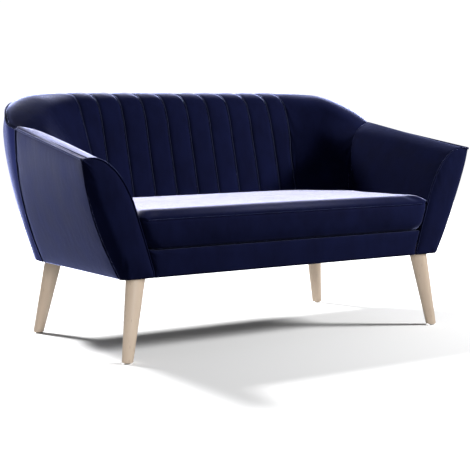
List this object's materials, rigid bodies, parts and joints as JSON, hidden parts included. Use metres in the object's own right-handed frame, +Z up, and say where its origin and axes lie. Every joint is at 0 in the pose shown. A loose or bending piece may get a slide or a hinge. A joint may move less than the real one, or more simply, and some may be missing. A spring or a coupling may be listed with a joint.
{
  "type": "two-seat sofa",
  "caption": "Two-seat upholstered sofa with a rolled, vertically channelled back that wraps into flared arms, one fixed seat cushion and splayed tapered round wooden legs.",
  "frame": {"origin": "on the floor, at the centre of the sofa's width and depth", "axes": "+X to the right as seen by someone facing the sofa, +Y to the rear, +Z up; the seat opens towards -Y"},
  "size_m": [1.468, 0.7798, 0.7745],
  "materials": {
    "velvet": "soft short-pile velvet",
    "beech": "clear matt lacquered beech",
    "pine": "planed softwood",
    "plywood": "sanded plywood",
    "zinc": "zinc plated",
    "spring_steel": "oiled spring steel",
    "felt": "needled felt",
    "webbing": "woven elastic webbing",
    "lining": "thin non-woven cloth",
    "nylon": "moulded nylon"
  },
  "bodies": {
    "root": {"arm_front_panel_left": "velvet", "arm_front_panel_right": "velvet", "arm_front_post_left": "plywood", "arm_front_post_right": "plywood", "arm_pad_left": "velvet", "arm_pad_right": "velvet", "arm_rear_post_left": "plywood", "arm_rear_post_right": "plywood", "arm_side_panel_left": "velvet", "arm_side_panel_right": "velvet", "arm_top_rail_left": "pine", "arm_top_rail_right": "pine", "back_corner_post_left": "pine", "back_corner_post_right": "pine", "back_lower_rail": "pine", "back_middle_pad": "velvet", "back_rib_left": "plywood", "back_rib_middle": "plywood", "back_rib_right": "plywood", "back_top_rail": "pine", "back_webbing_lower": "webbing", "back_webbing_middle": "webbing", "back_webbing_upper": "webbing", "back_wing_pad_left": "velvet", "back_wing_pad_right": "velvet", "centre_rail": "pine", "dust_cover": "lining", "front_apron": "velvet", "front_rail": "pine", "glide_front_left": "nylon", "glide_front_right": "nylon", "glide_rear_left": "nylon", "glide_rear_right": "nylon", "leg_bolt_front_left": "zinc", "leg_bolt_front_right": "zinc", "leg_bolt_rear_left": "zinc", "leg_bolt_rear_right": "zinc", "leg_front_left": "beech", "leg_front_right": "beech", "leg_plate_front_left": "zinc", "leg_plate_front_right": "zinc", "leg_plate_rear_left": "zinc", "leg_plate_rear_right": "zinc", "leg_rear_left": "beech", "leg_rear_right": "beech", "outer_back_panel": "velvet", "rear_board": "plywood", "seat_cushion": "velvet", "seat_felt": "felt", "seat_rear_rail": "pine", "seat_side_rail_left": "pine", "seat_side_rail_right": "pine", "seat_spring_1": "spring_steel", "seat_spring_2": "spring_steel", "seat_spring_3": "spring_steel", "seat_spring_4": "spring_steel", "seat_spring_5": "spring_steel", "seat_spring_6": "spring_steel", "side_board_left": "plywood", "side_board_right": "plywood"}
  },
  "joints": []
}
